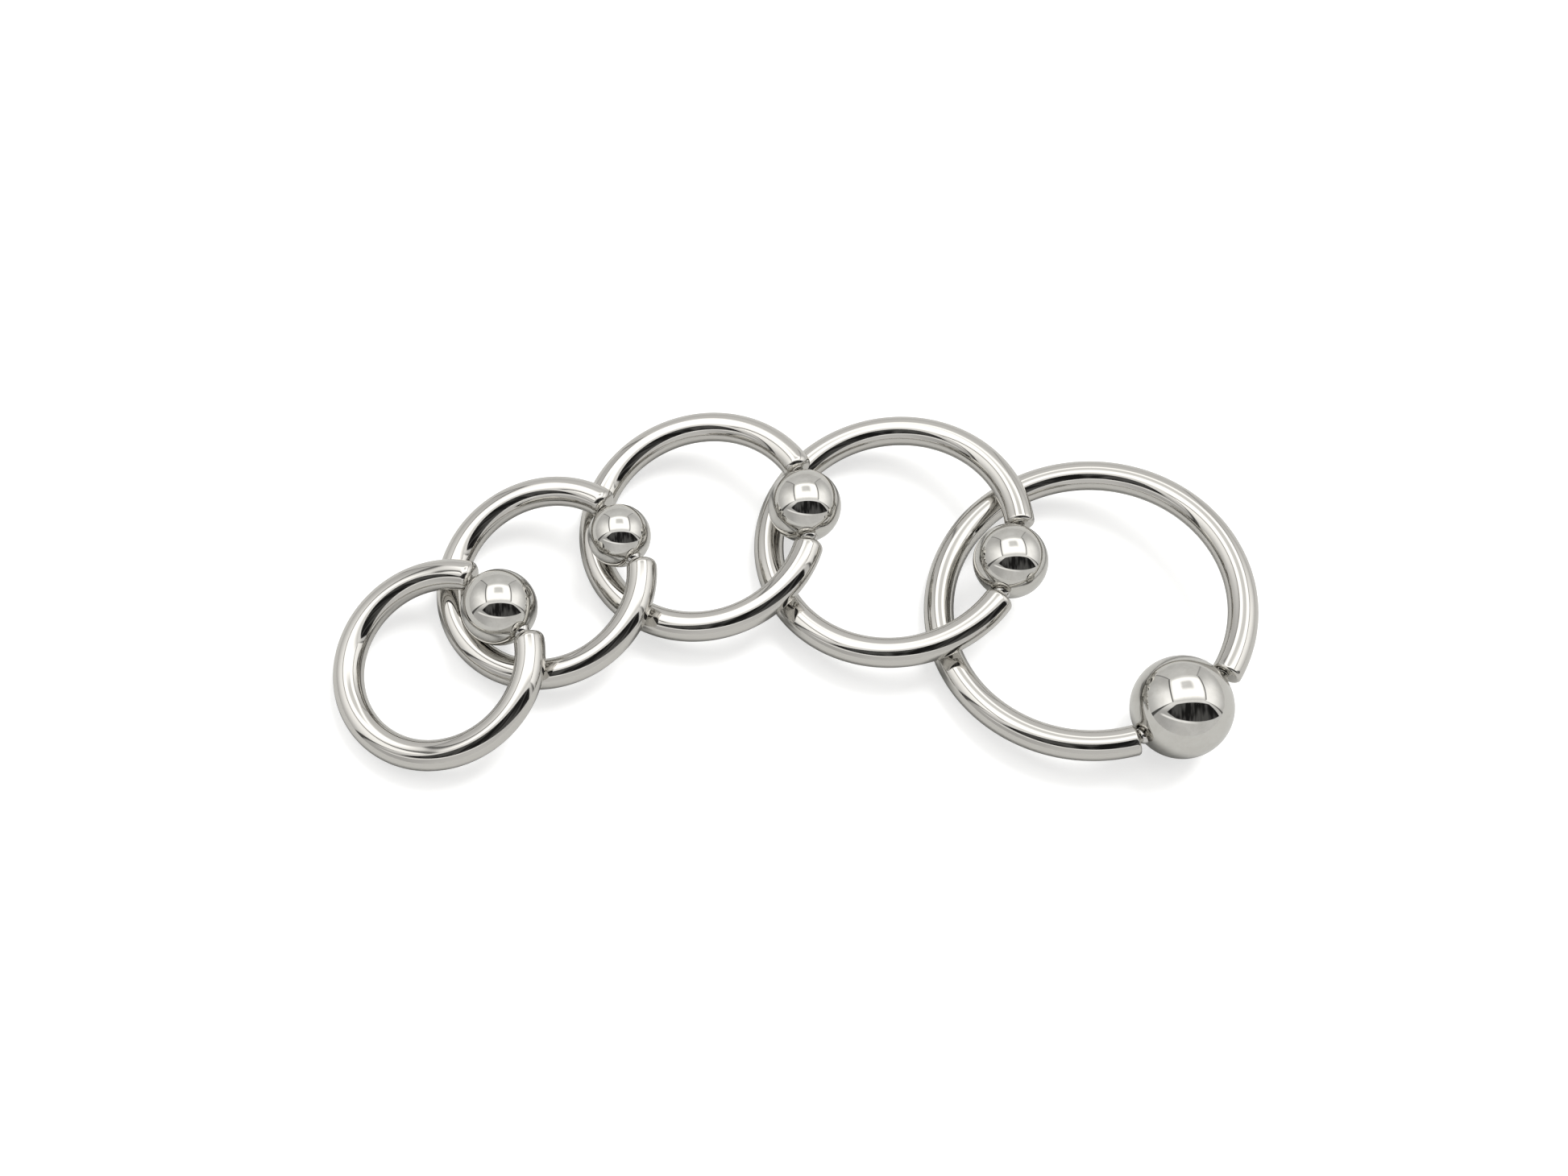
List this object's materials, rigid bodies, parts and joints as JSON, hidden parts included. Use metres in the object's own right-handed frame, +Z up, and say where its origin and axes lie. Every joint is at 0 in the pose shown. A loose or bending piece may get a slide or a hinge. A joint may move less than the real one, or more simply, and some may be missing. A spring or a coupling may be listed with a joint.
{
  "type": "captive bead rings",
  "caption": "Captive bead rings of thick polished steel wire laid in a row, each lying on the next; a sprung bead snaps into each ring's gap.",
  "frame": {"origin": "on the table, under the middle of the row's bounding box", "axes": "+Z up, +X along the row towards the largest ring, +Y away from a person who looks at the row from the front"},
  "size_m": [0.1214, 0.0554, 0.0133],
  "materials": {
    "wire_steel": "mirror-polished stainless steel wire",
    "bead_steel": "mirror-polished stainless steel ball",
    "ball_steel": "polished bearing steel",
    "spring_steel": "bright drawn spring wire"
  },
  "bodies": {
    "ring_A_body": {"ring_A": "wire_steel"},
    "bead_A_body": {"bead_A": "bead_steel", "spring_A": "spring_steel"},
    "detent_ball_A_left_body": {"detent_ball_A_left": "ball_steel"},
    "detent_ball_A_right_body": {"detent_ball_A_right": "ball_steel"},
    "ring_B_body": {"ring_B": "wire_steel"},
    "bead_B_body": {"bead_B": "bead_steel", "spring_B": "spring_steel"},
    "detent_ball_B_left_body": {"detent_ball_B_left": "ball_steel"},
    "detent_ball_B_right_body": {"detent_ball_B_right": "ball_steel"},
    "ring_C_body": {"ring_C": "wire_steel"},
    "bead_C_body": {"bead_C": "bead_steel", "spring_C": "spring_steel"},
    "detent_ball_C_left_body": {"detent_ball_C_left": "ball_steel"},
    "detent_ball_C_right_body": {"detent_ball_C_right": "ball_steel"},
    "ring_D_body": {"ring_D": "wire_steel"},
    "bead_D_body": {"bead_D": "bead_steel", "spring_D": "spring_steel"},
    "detent_ball_D_left_body": {"detent_ball_D_left": "ball_steel"},
    "detent_ball_D_right_body": {"detent_ball_D_right": "ball_steel"},
    "ring_E_body": {"ring_E": "wire_steel"},
    "bead_E_body": {"bead_E": "bead_steel", "spring_E": "spring_steel"},
    "detent_ball_E_left_body": {"detent_ball_E_left": "ball_steel"},
    "detent_ball_E_right_body": {"detent_ball_E_right": "ball_steel"}
  },
  "joints": [
    {"name": "lift_ring_D", "type": "slide", "parent": "ring_E_body", "child": "ring_D_body", "axis": [0, 0, 1], "range_m": [0, 0.025]},
    {"name": "lift_ring_C", "type": "slide", "parent": "ring_D_body", "child": "ring_C_body", "axis": [0, 0, 1], "range_m": [0, 0.025]},
    {"name": "lift_ring_B", "type": "slide", "parent": "ring_C_body", "child": "ring_B_body", "axis": [0, 0, 1], "range_m": [0, 0.025]},
    {"name": "lift_ring_A", "type": "slide", "parent": "ring_B_body", "child": "ring_A_body", "axis": [0, 0, 1], "range_m": [0, 0.025]},
    {"name": "spin_bead_A", "type": "hinge", "parent": "ring_A_body", "child": "bead_A_body", "pos_m": [-0.03872, -0.00125, 0.0076], "axis": [-0.6004, 0.7966, -0.0708], "continuous": true},
    {"name": "press_detent_A_left", "type": "slide", "parent": "bead_A_body", "child": "detent_ball_A_left_body", "axis": [0.6004, -0.7966, 0.0708], "range_m": [0, 0.0004], "stiffness_N_per_m": 400, "springref_m": -0.0005, "deforming": ["spring_A"]},
    {"name": "press_detent_A_right", "type": "slide", "parent": "bead_A_body", "child": "detent_ball_A_right_body", "axis": [-0.6004, 0.7966, -0.0708], "range_m": [0, 0.0004], "stiffness_N_per_m": 400, "springref_m": -0.0005, "deforming": ["spring_A"]},
    {"name": "spin_bead_B", "type": "hinge", "parent": "ring_B_body", "child": "bead_B_body", "pos_m": [-0.02267, 0.00831, 0.00753], "axis": [-0.4293, 0.9028, -0.0251], "continuous": true},
    {"name": "press_detent_B_left", "type": "slide", "parent": "bead_B_body", "child": "detent_ball_B_left_body", "axis": [0.4293, -0.9028, 0.0251], "range_m": [0, 0.0004], "stiffness_N_per_m": 400, "springref_m": -0.0005, "deforming": ["spring_B"]},
    {"name": "press_detent_B_right", "type": "slide", "parent": "bead_B_body", "child": "detent_ball_B_right_body", "axis": [-0.4293, 0.9028, -0.0251], "range_m": [0, 0.0004], "stiffness_N_per_m": 400, "springref_m": -0.0005, "deforming": ["spring_B"]},
    {"name": "spin_bead_C", "type": "hinge", "parent": "ring_C_body", "child": "bead_C_body", "pos_m": [0.00228, 0.01114, 0.00777], "axis": [-0.0356, 0.9993, 0.0073], "continuous": true},
    {"name": "press_detent_C_left", "type": "slide", "parent": "bead_C_body", "child": "detent_ball_C_left_body", "axis": [0.0356, -0.9993, -0.0073], "range_m": [0, 0.0004], "stiffness_N_per_m": 400, "springref_m": -0.0005, "deforming": ["spring_C"]},
    {"name": "press_detent_C_right", "type": "slide", "parent": "bead_C_body", "child": "detent_ball_C_right_body", "axis": [-0.0356, 0.9993, 0.0073], "range_m": [0, 0.0004], "stiffness_N_per_m": 400, "springref_m": -0.0005, "deforming": ["spring_C"]},
    {"name": "spin_bead_D", "type": "hinge", "parent": "ring_D_body", "child": "bead_D_body", "pos_m": [0.02885, 0.00107, 0.00772], "axis": [0.3583, 0.9328, 0.0384], "continuous": true},
    {"name": "press_detent_D_left", "type": "slide", "parent": "bead_D_body", "child": "detent_ball_D_left_body", "axis": [-0.3583, -0.9328, -0.0384], "range_m": [0, 0.0004], "stiffness_N_per_m": 400, "springref_m": -0.0005, "deforming": ["spring_D"]},
    {"name": "press_detent_D_right", "type": "slide", "parent": "bead_D_body", "child": "detent_ball_D_right_body", "axis": [0.3583, 0.9328, 0.0384], "range_m": [0, 0.0004], "stiffness_N_per_m": 400, "springref_m": -0.0005, "deforming": ["spring_D"]},
    {"name": "spin_bead_E", "type": "hinge", "parent": "ring_E_body", "child": "bead_E_body", "pos_m": [0.04837, -0.02099, 0.00667], "axis": [0.8515, 0.51, 0.1221], "continuous": true},
    {"name": "press_detent_E_left", "type": "slide", "parent": "bead_E_body", "child": "detent_ball_E_left_body", "axis": [-0.8515, -0.51, -0.1221], "range_m": [0, 0.0004], "stiffness_N_per_m": 400, "springref_m": -0.0005, "deforming": ["spring_E"]},
    {"name": "press_detent_E_right", "type": "slide", "parent": "bead_E_body", "child": "detent_ball_E_right_body", "axis": [0.8515, 0.51, 0.1221], "range_m": [0, 0.0004], "stiffness_N_per_m": 400, "springref_m": -0.0005, "deforming": ["spring_E"]}
  ]
}
